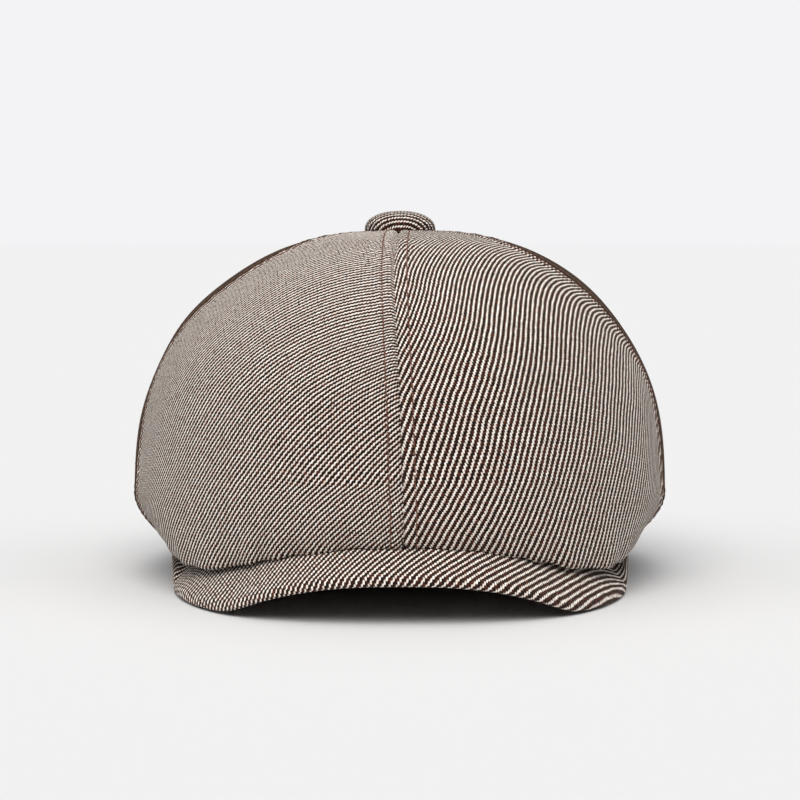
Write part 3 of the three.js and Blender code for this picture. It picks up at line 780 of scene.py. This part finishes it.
def stitches(name, rows, pitch=3.2, long=2.8, radius=0.3, sides=6):
    """Short thread tubes along rows of (points, outward directions), their ends diving into the cloth."""
    share = np.array([0, 0.14, 0.5, 0.86, 1])
    proud = np.array([-0.3, 0.1, 0.2, 0.1, -0.3])
    fat = np.array([0.7, 1, 1, 1, 0.7])
    verts, faces, count = [], [], 0
    rings = len(share)
    phi = np.linspace(0, 2 * math.pi, sides, endpoint=False)
    for line, out in rows:
        run = np.concatenate([[0], np.cumsum(np.linalg.norm(np.diff(line, axis=0), axis=-1))])
        starts = np.arange(0.3, run[-1] - long, pitch)
        starts = starts + rng.uniform(-0.12, 0.12, len(starts))
        s = starts[:, None] + share * long
        centre = np.stack([np.interp(s, run, line[:, i]) for i in range(3)], -1)
        normal = np.stack([np.interp(s, run, out[:, i]) for i in range(3)], -1)
        centre = centre + normal * proud[:, None]
        along = np.gradient(centre, axis=1)
        along /= np.linalg.norm(along, axis=-1, keepdims=True)
        side = np.cross(along, normal)
        side /= np.linalg.norm(side, axis=-1, keepdims=True)
        up = np.cross(side, along)
        ring = (
            centre[:, :, None]
            + (up[:, :, None] * np.cos(phi)[:, None] + side[:, :, None] * np.sin(phi)[:, None])
            * (radius * fat)[:, None, None]
        )
        verts.append(ring.reshape(-1, 3))
        for k in range(len(starts)):
            base_i = count + k * rings * sides
            for r_i in range(rings - 1):
                for j in range(sides):
                    a = base_i + r_i * sides + j
                    b = base_i + r_i * sides + (j + 1) % sides
                    faces.append((a, b, b + sides, a + sides))
            faces.append(tuple(base_i + j for j in range(sides))[::-1])
            faces.append(tuple(base_i + (rings - 1) * sides + j for j in range(sides)))
        count += len(starts) * rings * sides
    mesh = bpy.data.meshes.new(name)
    verts = to_row(np.concatenate(verts))
    mesh.from_pydata(verts.tolist(), [], faces)
    loops = np.concatenate([np.array(f) for f in faces])
    mesh.uv_layers.new(name="cut").data.foreach_set("uv", verts[loops][:, [0, 2]].ravel())
    made = selected(name, mesh)
    bpy.ops.mesh.normals_make_consistent(inside=False)
    bpy.ops.object.mode_set(mode="OBJECT")
    bpy.ops.object.shade_smooth()
    return finished(made, THREAD)


def seam_rows(seam, side, ways):
    """The two rows of topstitching beside a crown seam."""
    rows = []
    middle = seam_turn(seam, side, ways)
    pace = np.linalg.norm(per_turn(crown_face, middle, ways), axis=-1)
    for beside in (-1, 1):
        turn = middle + beside * STITCH_IN / pace
        line = crown_cloth(turn, ways, np.full_like(ways, STITCH_IN))
        rows.append((line, outwards(crown_face, turn, ways)))
    return rows


# the topstitching runs from under the button to where the crown has turned under
stitch_ways = np.concatenate([np.linspace(0.07, 1, 300), np.linspace(1, 1.75, 150)[1:]])
for seam_name, seam, side in (
    ("front", CENTRE_SEAM, 1),
    ("side_left", SIDE_SEAM, 1),
    ("side_right", SIDE_SEAM, -1),
    ("rear_left", REAR_SEAM, 1),
    ("rear_right", REAR_SEAM, -1),
    ("back", BACK_SEAM, 1),
):
    stitches(f"topstitch_{seam_name}_thread", seam_rows(seam, side, stitch_ways))

rows = []
for height in (2.2, SWEATBAND_HIGH - 2.0):  # beside both edges
    turn = np.linspace(-sweat_end + 0.02, sweat_end - 0.02, 900)
    flat_out = points(np.sin(turn), -np.cos(turn), 0 * turn)
    line = points(HEAD_X * np.sin(turn), -HEAD_Y * np.cos(turn), band_lift(turn) + SWEATBAND_FOOT + height)
    rows.append((line, -flat_out))
stitches("sweatband_stitch_thread", rows, pitch=3.6, long=2.8)

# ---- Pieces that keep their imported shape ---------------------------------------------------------
KEPT = {"visor_board": POLYETHYLENE, "button_shell": ALUMINIUM, "button_back": ALUMINIUM}
for node, material in KEPT.items():
    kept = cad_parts[node]
    kept.data.materials.clear()
    kept.data.materials.append(material)

# ---- Studio --------------------------------------------------------------------------------------
BACKDROP = "#f3f3f5"
FLOOR_COLOUR = "#dadad9"
bpy.ops.object.select_all(action="DESELECT")
bpy.ops.mesh.primitive_plane_add(size=60, location=(0, 0, 0))
floor = bpy.context.object
floor.name = "studio_floor"
# matt white paper: pale and even, with no gloss
floor_paint, t = new_material("matt_white_paper")
surface(t, paint(FLOOR_COLOUR), 1.0, specular=0.0)
floor.data.materials.append(floor_paint)

world = bpy.data.worlds.new("studio")
bpy.context.scene.world = world
world.use_nodes = True
t = world.node_tree
t.nodes.clear()
seen = add(t, "ShaderNodeBackground", {0: paint(BACKDROP), 1: 1.0})
lit = add(t, "ShaderNodeBackground", {0: paint("#eef1ff"), 1: 0.26})
path = add(t, "ShaderNodeLightPath")
both = add(t, "ShaderNodeMixShader", {0: path.outputs["Is Camera Ray"], 1: lit, 2: seen})
add(t, "ShaderNodeOutputWorld", {0: both})

for name, energy, spread, colour, source in (
    ("softbox_above_in_front", 2.3, 50, (1.0, 0.985, 0.965), (-0.08, -0.75, 1.0)),
    ("softbox_above_and_behind", 0.7, 50, (1.0, 0.985, 0.965), (0.0, 0.4, 1.0)),
    ("softbox_at_the_right", 0.6, 50, (1.0, 0.99, 0.98), (-1.0, -0.35, 1.1)),
    ("softbox_at_the_left", 0.5, 50, (1.0, 0.99, 0.98), (1.0, -0.35, 1.1)),
):
    softbox = bpy.data.lights.new(name, "SUN")
    softbox.energy = energy
    softbox.angle = math.radians(spread)
    softbox.color = colour
    lamp = bpy.data.objects.new(name, softbox)
    bpy.context.scene.collection.objects.link(lamp)
    lamp.rotation_euler = Vector(source).to_track_quat("Z", "Y").to_euler()

CAMERA_AWAY = 1.0
CAMERA_HIGH = 0.148
AIM_HIGH = 0.075
camera_data = bpy.data.cameras.new("camera")
camera_data.lens = 102
camera_data.sensor_width = 36
camera = bpy.data.objects.new("camera", camera_data)
bpy.context.scene.collection.objects.link(camera)
head = HEAD_SHIFT * MM
camera.location = (0, head - CAMERA_AWAY, CAMERA_HIGH)
aim = Vector((0, head, AIM_HIGH))
camera.rotation_euler = (camera.location - aim).to_track_quat("Z", "Y").to_euler()
bpy.context.scene.camera = camera
bpy.context.scene.view_settings.view_transform = "Standard"
